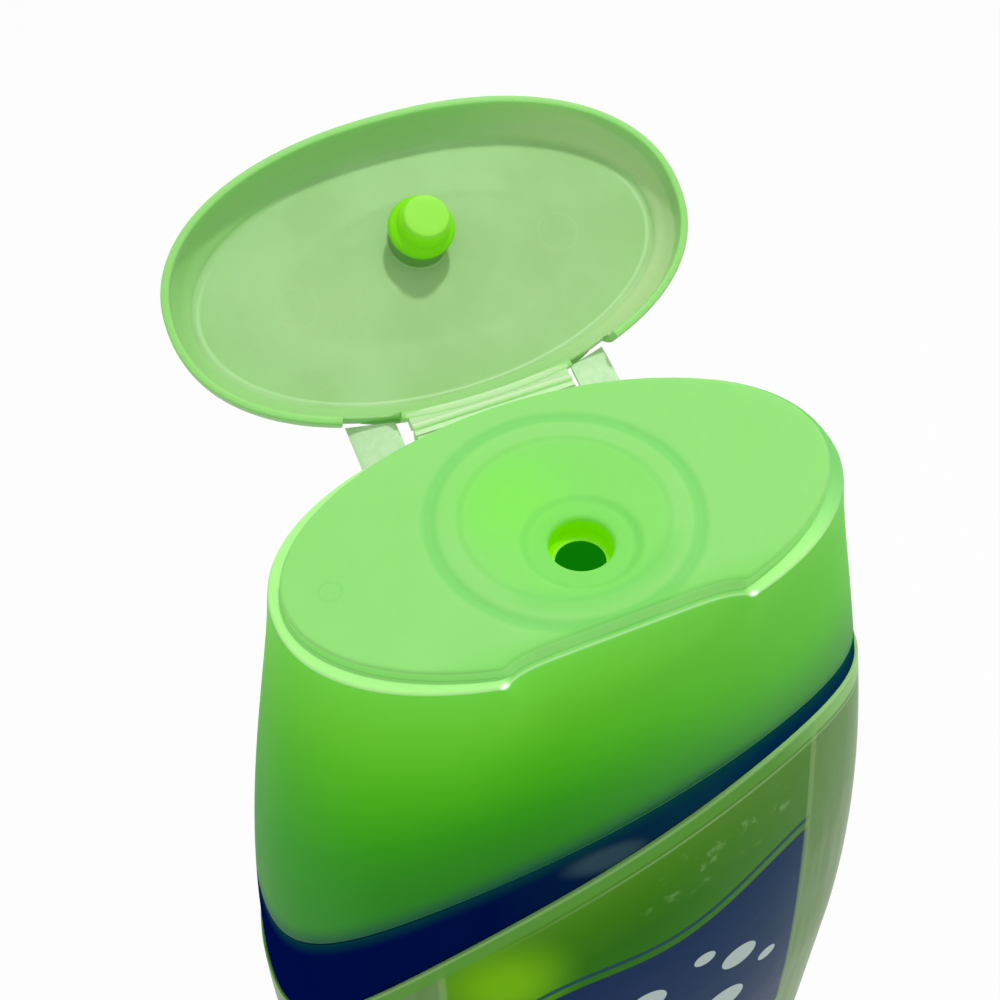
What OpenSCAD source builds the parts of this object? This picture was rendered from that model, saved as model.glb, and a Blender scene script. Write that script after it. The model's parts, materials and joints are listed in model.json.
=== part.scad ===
// Body wash bottle with an oval flip-top closure, modelled with its lid held open.
// Millimetres. The bottle stands on z = 0, its front faces -Y and the lid hinges at the rear.
// Bottle, cap and label share one outer form: an oval that flares from the seam to the body.

/* [Form] */
// Height of the seam between the cap and the closed lid
seam_h = 196; // [170:1:220]
// Width of the oval at the seam
top_w = 63.4; // [58:0.2:68]
// Depth of the oval at the seam
top_d = 35.9; // [33:0.1:40]
// Width of the body where it is widest
body_w = 90; // [84:1:96]
// Depth of the body where it is deepest
body_d = 51.8; // [46:0.2:56]
// Height at which the flare from the seam reaches the full body
full_h = 100; // [90:1:120]
// Height below which the body narrows to its foot
waist_h = 62; // [45:1:80]
// Width of the body just above the foot's rounded edge
foot_w = 85; // [80:0.5:90]
// Radius of the foot's rounded edge
foot_r = 6; // [3:0.5:9]

/* [Bottle] */
// Wall of the blow-moulded bottle
bottle_wall = 1.1; // [0.8:0.1:1.6]
// Height of the push-up in the middle of the base
push_up = 2.4; // [1:0.2:4]
// Width of the flat ring that the bottle stands on
foot_ring = 5; // [3:0.5:8]
// Outer radius of the neck
neck_r = 12.3; // [11:0.1:12.6]
// Inner radius of the neck
neck_bore_r = 10.8; // [9:0.1:11]
// Length of the neck above the shoulder
neck_len = 14; // [11:0.5:16]
// How far the snap bead stands out of the neck
bead_out = 0.6; // [0.4:0.05:0.8]
// Distance of the bead's lower edge below the top of the neck
bead_drop = 6; // [5:0.1:6.5]
// Height of the snap bead
bead_h = 2.4; // [1.8:0.1:3]
// Height over which the shoulder rounds in to the neck
shoulder_len = 9; // [6:0.5:12]

/* [Cap] */
// Wall of the cap's outer skirt
skirt_wall = 1.4; // [1.1:0.1:1.8]
// Distance from the seam down to the skirt's edge at the middle of the front
skirt_drop = 28; // [25:0.5:30]
// Slope of the skirt's edge across the width, rising to +X
skirt_slope = 0.24; // [0.15:0.01:0.28]
// How much the skirt's edge drops at 40 mm from the middle
skirt_arch = 14.5; // [10:0.5:15]
// Height of the deck above the seam
deck_rise = 1.5; // [1:0.1:2]
// Width of the ledge between the seam's outline and the raised deck
ledge_w = 1.3; // [1.2:0.05:1.6]
// Width of the ledge at the front and the rear
ledge_d = 0.75; // [0.7:0.05:1]
// Thickness of the deck
deck_wall = 2.2; // [1.9:0.1:2.6]
// Radius of the deck's rounded edge
deck_round = 0.5; // [0.3:0.05:0.7]
// Middle radius of the shallow ring groove in the deck
ring_r = 14.5; // [13:0.1:15]
// Half width of the ring groove
ring_half = 0.9; // [0.6:0.05:1.2]
// Depth of the ring groove
ring_depth = 0.3; // [0.15:0.05:0.5]
// Radius of the dish inside the ring groove
dish_r = 11; // [9:0.1:12]
// Depth of the dish
dish_depth = 0.7; // [0.3:0.1:1]
// Distance of the orifice in front of the middle
orifice_y = 4.7; // [3.5:0.1:5.2]
// Radius of the shallow recess around the orifice
collar_r = 6.1; // [5:0.1:6.5]
// Depth of that recess below the dish
collar_depth = 0.15; // [0.05:0.05:0.3]
// Radius of the orifice at its mouth
mouth_r = 3.4; // [3:0.05:3.8]
// Radius of the orifice at its narrow end
throat_r = 2.45; // [2.1:0.05:2.8]
// Depth of the wide part of the orifice below the deck
mouth_depth = 2.4; // [2:0.1:3]
// Height of the rounded edge of the mouth
mouth_round = 0.6; // [0.3:0.05:0.8]
// Height of the cone between mouth and throat
cone_h = 0.9; // [0.5:0.1:1.2]
// Length of the nozzle below the deck
nozzle_len = 3.2; // [2.8:0.1:4.5]
// Wall of the nozzle
nozzle_wall = 1.1; // [0.8:0.1:1.4]
// Height of the inner skirt that snaps over the neck
snap_h = 9.4; // [8.5:0.1:10.5]
// Wall of the inner skirt
snap_wall = 1.2; // [0.9:0.1:1.5]
// Height of the seal that fits inside the neck
seal_h = 3; // [2:0.1:5]
// Wall of the seal
seal_wall = 1; // [0.7:0.1:1.3]
// Depth of the thumb scoop at the middle of the front edge
scoop_depth = 2.1; // [1:0.1:2.4]
// Half width of the thumb scoop at the seam
scoop_half = 13.4; // [10:0.2:15]
// Height of the thumb scoop below the seam
scoop_h = 12; // [8:0.5:16]

/* [Lid] */
// Angle between the closed lid and the lid as it stands open
open_angle = 151; // [140:1:160]
// Depth of the lid at its rim
lid_d = 37; // [34:0.1:41]
// Thickness of the rim
rim_wall = 0.95; // [0.8:0.05:1]
// Depth of the dish inside the lid
lid_dish = 4.6; // [4:0.1:6]
// Height of the lid's dome above its rim
lid_h = 6.3; // [6:0.1:8]
// Distance over which the dome rounds in from the rim
dome_in = 14; // [10:0.5:16]
// Distance of the dish floor inside the rim
floor_inset = 3.0; // [2:0.1:4]
// Depth of the fine line round the oval panel in the dish floor
panel_depth = 0.1; // [0.05:0.05:0.2]
// Half width of the oval panel
panel_a = 18; // [14:0.5:22]
// Half depth of the oval panel
panel_b = 9; // [8:0.5:11]
// Radius of the plug's stem
plug_stem_r = 2.8; // [2.4:0.05:2.9]
// Radius of the plug's tip
plug_tip_r = 2.1; // [1.6:0.05:2.2]
// How far the plug's tip reaches below the dish of the deck
plug_reach = 2.5; // [2.2:0.1:2.9]
// Height of the plug's widest place above its tip
bulb_z = 2.1; // [1.8:0.1:2.4]

/* [Hinge] */
// Distance of the hinge line behind the seam's outline
hinge_out = 1.1; // [0.8:0.05:1.5]
// Half length of the film hinge
hinge_half = 9.7; // [8:0.1:9.9]
// Radius of the rolled film hinge
film_r = 0.42; // [0.3:0.02:0.5]
// Distance from the middle to a strap's inner edge
strap_in_x = 10.9; // [10.7:0.1:11.5]
// Distance from the middle to a strap's outer edge
strap_out_x = 16.2; // [14.5:0.1:17]
// Distance of a strap's inner edge in front of the hinge line
strap_in_y = 1.85; // [1.6:0.05:2.1]
// How far a strap runs forward for each millimetre outward
strap_slope = 0.32; // [0.26:0.01:0.36]
// Thickness of a strap
strap_t = 0.5; // [0.4:0.05:0.6]
// Height of the hinge lug on the back of the skirt
lug_h = 4.5; // [3:0.5:6]
// Height of the raised block along the lid's side of the hinge
block_h = 1.5; // [1:0.1:2]

/* [Label] */
// Thickness of the label
label_t = 0.4; // [0.25:0.05:0.6]
// Height of the label's lower edge
label_low = 16; // [12:0.5:30]
// Distance from the seam down to the label's edge at the middle of the front
label_drop = 34; // [33:0.5:40]
// Slope of the label's upper edge across the width, rising to +X
label_slope = 0.38; // [0.25:0.01:0.4]
// How much the label's upper edge drops at 40 mm from the middle
label_arch = 17.5; // [16:0.5:20]

/* [Hidden] */

// points round an oval
oval_steps = 56;
// exponents of the oval at the seam and at the body
top_n = 2.18;
body_n = 2.35;
// gap between the lid's rim and the seam
lid_gap = 0.1;
// gaps between parts that are pressed, snapped or slid together
fit_gap = 0.15;
running_gap = 0.08;
edge_gap = 0.25;
film_gap = 0.03;
pocket_gap = 0.5;
// overlap that lets a cut pass clean through a face
eps = 0.02;
// reach of the blocks that trim the skirt and the label
far = 80;
// place and exponent of an edge's arch
arch_at = 40;
arch_n = 3;
// small draft that eases the parts' corners
ease = 0.15;
$fn = 96;

hinge_y = top_d/2 + hinge_out;
hinge_z = seam_h + lid_gap/2;
deck_z = seam_h + deck_rise;
under_z = deck_z - deck_wall;
neck_top = under_z - fit_gap;
shoulder_z = neck_top - neck_len;

// Signed power, and one point or all points of an oval with half axes a and b
function spow(v, e) = sign(v)*pow(abs(v), e);
function oval_point(a, b, n, t) = [a*spow(cos(t), 2/n), b*spow(sin(t), 2/n)];
function oval(a, b, n) =
    [for (i = [0:oval_steps - 1]) oval_point(a, b, n, 360*i/oval_steps)];

// The form's side line: a cubic curve from the seam to the full body, then the foot's taper
function cubic(p, t) =
    pow(1 - t, 3)*p[0] + 3*t*pow(1 - t, 2)*p[1] + 3*t*t*(1 - t)*p[2] + pow(t, 3)*p[3];
flare = (body_w - top_w)/2;
flare_h = seam_h - full_h;
flare_x = [top_w/2, top_w/2 + 0.135*flare, body_w/2 - 0.03*flare, body_w/2];
flare_z = [seam_h, seam_h - 0.146*flare_h, full_h + 0.5*flare_h, full_h];
foot_drop = (body_w - foot_w)/2;
foot_curve = [for (t = [0:0.25:1]) [foot_r + (waist_h - foot_r)*t, foot_w/2 + foot_drop*sin(90*t)]];
side_line = concat(
    foot_curve,
    [for (t = [1:-0.125:0]) [cubic(flare_z, t), cubic(flare_x, t)]]);
function form_a(z) = lookup(z, side_line);
function form_b(z) = top_d/2 + (form_a(z) - top_w/2)*(body_d - top_d)/(body_w - top_w);
function form_n(z) =
    body_n + (top_n - body_n)*max(0, min(1, (z - full_h)/(seam_h - full_h)));

// One ring of a loft: height, half width, half depth, exponent and shift along Y
function form_ring(z, out) = [z, form_a(z) + out, form_b(z) + out, form_n(z), 0];
function heights(z0, z1) =
    concat([z0], [for (p = side_line) if (p[0] > z0 + 1 && p[0] < z1 - 1) p[0]], [z1]);

// Solid through a stack of oval rings, lowest first
module loft(rings) {
    n = oval_steps;
    last = len(rings) - 1;
    points = [for (r = rings) for (p = oval(r[1], r[2], r[3])) [p[0], p[1] + r[4], r[0]]];
    walls = [for (i = [0:last - 1]) for (j = [0:n - 1])
        let (k = (j + 1) % n)
        each [[i*n + j, (i + 1)*n + j, (i + 1)*n + k], [i*n + j, (i + 1)*n + k, i*n + k]]];
    bottom = [for (j = [0:n - 1]) j];
    top = [for (j = [n - 1:-1:0]) last*n + j];
    polyhedron(points, concat([bottom], walls, [top]));
}
module form(z0, z1, out) {
    loft([for (z = heights(z0, z1)) form_ring(z, out)]);
}

// Height of an arched and sloping edge line at x, and the block below it
function edge_line(x, drop, slope, arch) =
    seam_h - drop + slope*x - arch*pow(abs(x)/arch_at, arch_n);
module below_edge(drop, slope, arch, shift) {
    line = [for (x = [far*0.65:-4:-far*0.65]) [x, edge_line(x, drop, slope, arch) + shift]];
    rotate([90, 0, 0]) linear_extrude(far, center = true)
        polygon(concat([[-far*0.65 - 1, -far], [far*0.65 + 1, -far]], line));
}

// Bottle: foot, body, stepped shoulder under the skirt, neck with a snap bead
low_x = -form_a(seam_h - skirt_drop - skirt_arch - arch_at*skirt_slope);
skirt_low = edge_line(low_x, skirt_drop, skirt_slope, skirt_arch) - 2;
step_h = 3;
inset = skirt_wall + edge_gap;
foot_rings = [for (t = [0, 30, 60])
    [foot_r*(1 - cos(t)), foot_w/2 - foot_r*(1 - sin(t)),
     form_b(foot_r) - foot_r*(1 - sin(t)), body_n, 0]];
function shoulder_ring(t, wall) =
    let (k = pow(sin(90*t), 2), s = shoulder_z - shoulder_len)
    [s + shoulder_len*t - wall,
     (form_a(s) - inset)*(1 - k) + (neck_r + 0.8)*k - wall,
     (form_b(s) - inset)*(1 - k) + (neck_r + 0.8)*k - wall,
     form_n(s)*(1 - k) + 2*k, 0];
module body_outside() {
    intersection() {
        loft(concat(foot_rings, [for (z = heights(foot_r, seam_h - skirt_drop + arch_at*skirt_slope))
            form_ring(z, 0)]));
        below_edge(skirt_drop, skirt_slope, skirt_arch, -edge_gap);
    }
}
module shoulder_outside() {
    loft(concat(
        [for (z = heights(skirt_low - step_h, shoulder_z - shoulder_len - 1)) form_ring(z, -inset)],
        [for (t = [0:0.25:1]) shoulder_ring(t, 0)]));
}
module body_inside() {
    w = bottle_wall;
    loft(concat(
        [for (r = foot_rings) if (r[0] > 0) [max(r[0], push_up + w), r[1] - w, r[2] - w, r[3], 0]],
        [for (z = heights(foot_r, skirt_low - step_h)) form_ring(z, -w)],
        [for (z = heights(skirt_low, shoulder_z - shoulder_len - 1)) form_ring(z, -inset - w)],
        [for (t = [0:0.25:1]) shoulder_ring(t, w)]));
}
module bottle() {
    color("midnightblue") difference() {
        union() {
            body_outside();
            shoulder_outside();
            translate([0, 0, shoulder_z - eps]) cylinder(r = neck_r, h = neck_len + eps);
            translate([0, 0, neck_top - bead_drop]) rotate_extrude()
                polygon([[neck_r - bead_out, 0], [neck_r + bead_out, bead_out],
                         [neck_r + bead_out, bead_h - 2*bead_out], [neck_r, bead_h],
                         [neck_r - bead_out, bead_h]]);
        }
        body_inside();
        translate([0, 0, shoulder_z - 2*bottle_wall]) cylinder(r = neck_bore_r, h = 2*neck_len);
        low_a = foot_w/2 - foot_r - foot_ring;
        high_a = low_a - push_up;
        loft([[-eps, low_a, low_a*body_d/body_w, body_n, 0],
              [push_up, high_a, high_a*body_d/body_w, body_n, 0]]);
    }
}

// Round hole profile of the orifice: rounded mouth, straight wall, cone and throat
module orifice(z_top, z_end) {
    rim = mouth_r + mouth_round;
    cone_z = z_top - mouth_depth - cone_h;
    translate([0, -orifice_y, 0]) rotate_extrude() polygon(concat(
        [[0, z_top + deck_rise], [rim, z_top + deck_rise]],
        [for (t = [0:22.5:90]) [rim - mouth_round*sin(t), z_top - mouth_round*(1 - cos(t))]],
        [[mouth_r, z_top - mouth_depth], [throat_r, cone_z], [throat_r, z_end], [0, z_end]]));
}

// Thumb scoop: a wide cylinder that leans outward on its way down
module scoop(margin) {
    b = top_d/2;
    edge_y = b*pow(1 - pow(scoop_half/(top_w/2), top_n), 1/top_n);
    mid_y = b - scoop_depth;
    sag = edge_y - mid_y;
    r = (scoop_half*scoop_half + sag*sag)/(2*sag);
    lean = atan((form_b(seam_h - scoop_h) - mid_y)/scoop_h);
    translate([0, -mid_y + margin, seam_h]) rotate([-lean, 0, 0])
        translate([0, -r, -4*scoop_h]) cylinder(r = r, h = 8*scoop_h, $fn = 240);
}

// Straps: flat trapezoids whose sides aim at the hinge line, so that they let the lid
// stand in two positions. fold is the angle of a side's end above the hinge line.
fold = (360 - open_angle)/4;
strap_dx = strap_out_x - strap_in_x;
strap_out_y = strap_in_y + strap_slope*strap_dx;
in_half = strap_in_y*tan(fold);
out_half = strap_out_y*tan(fold);
strap_line = [1, -strap_slope, -strap_slope*tan(fold)];
line_x = 1/norm(strap_line);
strap_turn = 2*atan(1/(tan(fold)*line_x));

// Face of the right strap with the lid closed, grown by g at the sides and by top and bottom
module strap_plane(thick, g, up, down) {
    plan = strap_dx*sqrt(1 + strap_slope*strap_slope);
    translate([strap_in_x, hinge_y - strap_in_y, hinge_z]) rotate([0, 0, -atan(strap_slope)])
        rotate([90, 0, 0]) translate([0, 0, thick[0]]) linear_extrude(thick[1] - thick[0])
            polygon([[-g, -in_half*down - g], [plan + g, -out_half*down - g],
                     [plan + g, out_half*up + g], [-g, in_half*up + g]]);
}
module right_strap() {
    translate([strap_in_x, hinge_y - strap_in_y, hinge_z - in_half]) rotate(-strap_turn, strap_line)
        translate([-strap_in_x, strap_in_y - hinge_y, in_half - hinge_z])
            strap_plane([-strap_t/2, strap_t/2], 0, 1, 1);
}
// Pocket that holds the strap in the skirt (up = 0) or in the lid (down = 0)
pocket_depth = strap_out_y + hinge_out;
module strap_pockets(up, down) {
    for (side = [0, 1]) mirror([side, 0, 0])
        strap_plane([-2*pocket_depth, strap_t/2 + edge_gap], pocket_gap, up, down);
}

// Flared skirt, open below, with its arched and sloping edge
module skirt() {
    low = skirt_low;
    inside = [for (p = side_line) if (p[0] > low && p[0] < under_z - 1) p[0]];
    difference() {
        form(low, seam_h, 0);
        loft([for (z = concat([low - 1], inside, [under_z])) form_ring(z, -skirt_wall)]);
        below_edge(skirt_drop, skirt_slope, skirt_arch, 0);
    }
}

// Raised deck with a rounded edge that follows the scoop
module deck() {
    rim_z = deck_z - deck_round;
    rounds = [for (t = [0:30:90]) [rim_z + deck_round*sin(t), deck_round*(1 - cos(t))]];
    intersection() {
        loft([for (p = concat([[under_z, 0]], rounds))
            [p[0], top_w/2 - ledge_w - p[1], top_d/2 - ledge_d - p[1], 2, 0]]);
        difference() {
            translate([-far/2, -far/2, under_z]) cube([far, far, far]);
            scoop(deck_round);
        }
    }
}

// Inner skirt that snaps over the neck's bead, and the seal inside the neck
module neck_fitment() {
    bore_r = neck_r + fit_gap;
    groove_r = bore_r + bead_out;
    groove_z = neck_top - bead_drop - 2*bead_out;
    rotate_extrude() polygon([
        [bore_r, neck_top - snap_h], [groove_r + snap_wall, neck_top - snap_h],
        [groove_r + snap_wall, under_z + eps], [groove_r, under_z + eps],
        [groove_r, groove_z + bead_out], [bore_r, groove_z]]);
    seal_r = neck_bore_r - fit_gap;
    rotate_extrude() polygon([
        [seal_r - seal_wall, neck_top - seal_h], [seal_r, neck_top - seal_h],
        [seal_r, under_z + eps], [seal_r - seal_wall, under_z + eps]]);
}

// Lug on the back of the skirt, with the rolled film hinge along its top
module hinge_lug() {
    inside_y = top_d/2 - skirt_wall + ease;
    rotate([90, 0, 90]) linear_extrude(2*hinge_half, center = true) polygon([
        [inside_y, seam_h], [hinge_y, seam_h], [hinge_y, seam_h - deck_rise],
        [top_d/2, seam_h - lug_h], [inside_y, seam_h - lug_h]]);
    translate([-hinge_half, hinge_y, hinge_z]) rotate([0, 90, 0])
        cylinder(r = film_r, h = 2*hinge_half);
}

// Shallow ring groove, dish and recess around the orifice, cut from the deck's top
module deck_reliefs() {
    floor_half = ring_half/2;
    translate([0, 0, deck_z]) rotate_extrude() polygon([
        [ring_r - ring_half, deck_rise], [ring_r - ring_half, 0], [ring_r - floor_half, -ring_depth],
        [ring_r + floor_half, -ring_depth], [ring_r + ring_half, 0], [ring_r + ring_half, deck_rise]]);
    dish_sphere = (dish_r*dish_r + dish_depth*dish_depth)/(2*dish_depth);
    translate([0, 0, deck_z + dish_sphere - dish_depth]) sphere(r = dish_sphere, $fn = 180);
    translate([0, -orifice_y, deck_z - dish_depth]) rotate_extrude() polygon([
        [0, deck_rise], [collar_r + ring_half, deck_rise], [collar_r, collar_depth],
        [mouth_r + mouth_round, -collar_depth], [0, -collar_depth]]);
}

module cap_base() {
    nozzle_end = under_z - nozzle_len;
    color("yellowgreen") difference() {
        union() {
            skirt();
            deck();
            neck_fitment();
            hinge_lug();
            translate([0, -orifice_y, nozzle_end])
                cylinder(r = mouth_r + nozzle_wall, h = nozzle_len + eps);
        }
        scoop(0);
        strap_pockets(0, 1);
        deck_reliefs();
        orifice(deck_z - dish_depth - collar_depth, nozzle_end - 1);
    }
}

// Plug of the closed lid, from its flat tip past the bulb to its stem in the dish floor
module plug(floor_z) {
    tip_z = deck_z - dish_depth - plug_reach;
    bulb_r = mouth_r - fit_gap;
    translate([0, -orifice_y, 0]) rotate_extrude() polygon(concat(
        [[0, tip_z], [plug_tip_r, tip_z]],
        [for (t = [20:35:90]) [plug_tip_r + (bulb_r - plug_tip_r)*sin(t), tip_z + bulb_z*(1 - cos(t))]],
        [[bulb_r, tip_z + bulb_z + ease], [plug_stem_r + ease, tip_z + 1.5*bulb_z],
         [plug_stem_r, tip_z + 2*bulb_z], [plug_stem_r + ease, floor_z + lid_gap], [0, floor_z + lid_gap]]));
}

// The lid as it lies closed on the seam
module closed_lid() {
    z0 = seam_h + lid_gap;
    a = top_w/2;
    b = lid_d/2;
    floor_z = z0 + lid_dish;
    block_y = b - rim_wall + ease;
    difference() {
        union() {
            difference() {
                loft([for (t = [0:15:90]) let (back = dome_in*pow(1 - cos(t), 1.4))
                    [z0 + lid_h*pow(sin(t), 0.62), a - back, b - back, top_n, 0]]);
                loft([for (p = [[z0 - 1, rim_wall], [z0, rim_wall], [deck_z + edge_gap, rim_wall + ease],
                                [floor_z - deck_round, floor_inset - ease],
                                [floor_z, floor_inset + deck_round]])
                    [p[0], a - p[1], b - p[1], top_n, 0]]);
            }
            plug(floor_z);
            translate([-hinge_half, block_y, z0]) cube([2*hinge_half, hinge_y - block_y, block_h]);
        }
        strap_pockets(1, 0);
        translate([-hinge_half - 1, hinge_y, hinge_z]) rotate([0, 90, 0])
            cylinder(r = film_r + running_gap, h = 2*hinge_half + 2);
        translate([0, 0, floor_z - eps]) linear_extrude(panel_depth + eps) difference() {
            polygon(oval(panel_a, panel_b, 2));
            polygon(oval(panel_a - deck_round, panel_b - deck_round, 2));
        }
    }
}
module lid() {
    color("lightgreen") translate([0, hinge_y, hinge_z]) rotate([-open_angle, 0, 0])
        translate([0, -hinge_y, -hinge_z]) closed_lid();
}

module right_hinge_strap() {
    color("darkseagreen") right_strap();
}
module left_hinge_strap() {
    color("darkseagreen") mirror([1, 0, 0]) right_strap();
}

// Wrap-round label with an arched, sloping upper edge
module label() {
    color("olivedrab") difference() {
        intersection() {
            form(label_low, seam_h - label_drop + arch_at*label_slope, label_t + film_gap);
            below_edge(label_drop, label_slope, label_arch, 0);
        }
        form(label_low - 1, seam_h - label_drop + arch_at*label_slope + 1, film_gap);
    }
}

bottle();
cap_base();
lid();
left_hinge_strap();
right_hinge_strap();
label();
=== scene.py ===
"""Looks of a body wash bottle that stands with its flip-top lid open.

Every piece is lofted from oval rings in millimetres, in the frame of the CAD model, and
stands for the CAD node of its name. The cap, bottle and label share one outer form.
"""
import json
import math

import bmesh
import bpy
import numpy as np
from mathutils import Euler, Matrix, Vector


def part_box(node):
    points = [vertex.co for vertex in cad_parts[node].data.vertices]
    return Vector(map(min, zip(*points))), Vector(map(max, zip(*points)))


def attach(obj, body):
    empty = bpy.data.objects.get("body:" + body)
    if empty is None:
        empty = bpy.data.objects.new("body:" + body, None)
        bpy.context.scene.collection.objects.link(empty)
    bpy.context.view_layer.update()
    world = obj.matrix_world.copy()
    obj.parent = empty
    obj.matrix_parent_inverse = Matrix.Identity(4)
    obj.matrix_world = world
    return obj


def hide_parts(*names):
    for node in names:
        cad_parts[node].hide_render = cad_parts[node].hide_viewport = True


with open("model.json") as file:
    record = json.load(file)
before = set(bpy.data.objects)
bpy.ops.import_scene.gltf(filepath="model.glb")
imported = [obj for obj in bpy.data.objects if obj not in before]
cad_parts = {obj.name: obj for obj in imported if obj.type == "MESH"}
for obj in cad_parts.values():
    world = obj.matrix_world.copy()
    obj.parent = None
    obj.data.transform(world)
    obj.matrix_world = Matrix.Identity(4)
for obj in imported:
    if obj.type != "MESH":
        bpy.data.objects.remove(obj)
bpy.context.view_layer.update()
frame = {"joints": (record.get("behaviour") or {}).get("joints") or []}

MM = 0.001
JOINTS = {joint["name"]: joint for joint in frame["joints"]}

# Outer form: an oval at the seam that flares to the body and narrows to the foot
SEAM_H = 196.0
TOP_W, TOP_D = 63.4, 35.9
BODY_W, BODY_D = 90.0, 51.8
FULL_H, WAIST_H = 100.0, 62.0
FOOT_W, FOOT_R = 85.0, 6.0
TOP_N, BODY_N = 2.18, 2.35

# Cap
SKIRT_WALL, SCOOP_WALL = 1.4, 0.7
SKIRT_DROP, SKIRT_SLOPE, SKIRT_ARCH = 28.0, 0.24, 14.5
ARCH_AT, ARCH_N = 40.0, 3
DECK_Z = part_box("cap_base")[1].z / MM
DECK_WALL = 2.2
DECK_ROUND = 0.5
SEAM_ROUND, SKIRT_ROUND = 0.35, 0.3
LEDGE_W, LEDGE_D = 1.3, 0.75
RING_R, RING_HALF, RING_DEPTH = 14.15, 0.9, 0.22
DISH_R, DISH_DEPTH, DISH_Y = 11.0, 0.7, 0.45
ORIFICE_X, ORIFICE_Y = 0.25, 3.95
COLLAR_R, COLLAR_DEPTH = 6.1, 0.15
MOUTH_R, THROAT_R, MOUTH_DEPTH = 3.4, 2.45, 2.4
MOUTH_ROUND, CONE_H = 0.6, 0.9
NOZZLE_LEN, NOZZLE_WALL = 3.2, 1.1
SNAP_H, SNAP_WALL, SEAL_H, SEAL_WALL = 9.4, 1.2, 3.0, 1.0
SCOOP_CUT, SCOOP_N, SCOOP_HALF, SCOOP_H = 1.2, 8, 13.5, 12.0

# Lid, measured as it lies closed
LID_GAP = 0.1
LID_D = 37.0
RIM_WALL = 0.95
LID_DISH, LID_H = 4.6, 6.3
DOME_IN, RIM_ROUND = 14.0, 0.25
FLOOR_INSET = 3.0
PANEL_A, PANEL_B, PANEL_DEPTH = 18.0, 9.0, 0.05
PLUG_STEM_R, PLUG_BULB_R, PLUG_TIP_R = 3.4, 3.95, 2.5
PLUG_REACH, PLUG_LEAN = 2.5, 0.4
HINGE = np.array(JOINTS["lid_hinge"]["pos_m"]) / MM
OPEN_ANGLE = math.radians(JOINTS["lid_hinge"]["range_deg"][1])
HINGE_HALF, FILM_R = 9.7, 0.42
LUG_H, BLOCK_H = 4.5, 1.5

# Straps
STRAP_IN_X, STRAP_OUT_X = 10.9, 16.2
STRAP_IN_Y, STRAP_SLOPE = 1.85, 0.32
STRAP_T = 0.5

# Bottle and label
BOTTLE_WALL = 1.1
EDGE_GAP, FIT_GAP = 0.25, 0.15
NECK_R, NECK_BORE_R, NECK_LEN, BEAD_OUT = 12.3, 10.8, 14.0, 0.6
SHOULDER_LEN, BEAD_DROP, BEAD_H = 9.0, 6.0, 2.4
PUSH_UP, FOOT_RING = 2.4, 5.0
LABEL_T, LABEL_GAP, LABEL_LOW = 0.4, 0.03, 16.0
LABEL_DROP, LABEL_SLOPE, LABEL_ARCH = 34.0, 0.38, 17.5

ROUND_STEPS = 384
TURN = np.linspace(0, 2 * math.pi, ROUND_STEPS, endpoint=False)


def power(value, exponent):
    return np.sign(value) * np.abs(value) ** exponent


def oval(a, b, n, z, y=0.0):
    """One ring: an oval with half axes a and b and exponent n, at height z, shifted by y."""
    xs = a * power(np.cos(TURN), 2 / n)
    ys = b * power(np.sin(TURN), 2 / n) + y
    return np.column_stack([xs, ys, np.broadcast_to(z, xs.shape)])


def circle(r, z, y=0.0):
    return oval(r, r, 2, z, y)


def mouth_ring(r, z):
    """A ring round the orifice's axis."""
    ring = circle(r, z, -ORIFICE_Y)
    ring[:, 0] += ORIFICE_X
    return ring


def side_table():
    """Heights and half widths down the outer form's side line."""
    flare, rise = (BODY_W - TOP_W) / 2, SEAM_H - FULL_H
    xs = [TOP_W / 2, TOP_W / 2 + 0.135 * flare, BODY_W / 2 - 0.03 * flare, BODY_W / 2]
    zs = [SEAM_H, SEAM_H - 0.146 * rise, FULL_H + 0.5 * rise, FULL_H]
    t = np.linspace(1, 0, 200)
    weights = np.array([(1 - t) ** 3, 3 * t * (1 - t) ** 2, 3 * t * t * (1 - t), t ** 3])
    foot = np.linspace(0, 1, 60)
    foot_z = FOOT_R + (WAIST_H - FOOT_R) * foot
    foot_x = FOOT_W / 2 + (BODY_W - FOOT_W) / 2 * np.sin(foot * math.pi / 2)
    return np.append(foot_z, weights.T @ zs), np.append(foot_x, weights.T @ xs)


SIDE_Z, SIDE_X = side_table()


def form_a(z):
    return np.interp(z, SIDE_Z, SIDE_X)


def form_b(z):
    return TOP_D / 2 + (form_a(z) - TOP_W / 2) * (BODY_D - TOP_D) / (BODY_W - TOP_W)


def form_n(z):
    share = np.clip((z - FULL_H) / (SEAM_H - FULL_H), 0, 1)
    return BODY_N + (TOP_N - BODY_N) * share


def form_ring(z, out=0.0):
    """One ring of the outer form, grown by out. The height z may differ round the ring."""
    return oval(form_a(z) + out, form_b(z) + out, form_n(z), z)


def edge_line(x, drop, slope, arch):
    return SEAM_H - drop + slope * x - arch * (abs(x) / ARCH_AT) ** ARCH_N


def edge_heights(drop, slope, arch, out=0.0):
    """Height of an arched, sloping edge at each step round the outer form."""
    z = np.full(ROUND_STEPS, SEAM_H - drop)
    for _ in range(12):
        z = 0.5 * z + 0.5 * edge_line(form_ring(z, out)[:, 0], drop, slope, arch)
    return z


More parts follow.
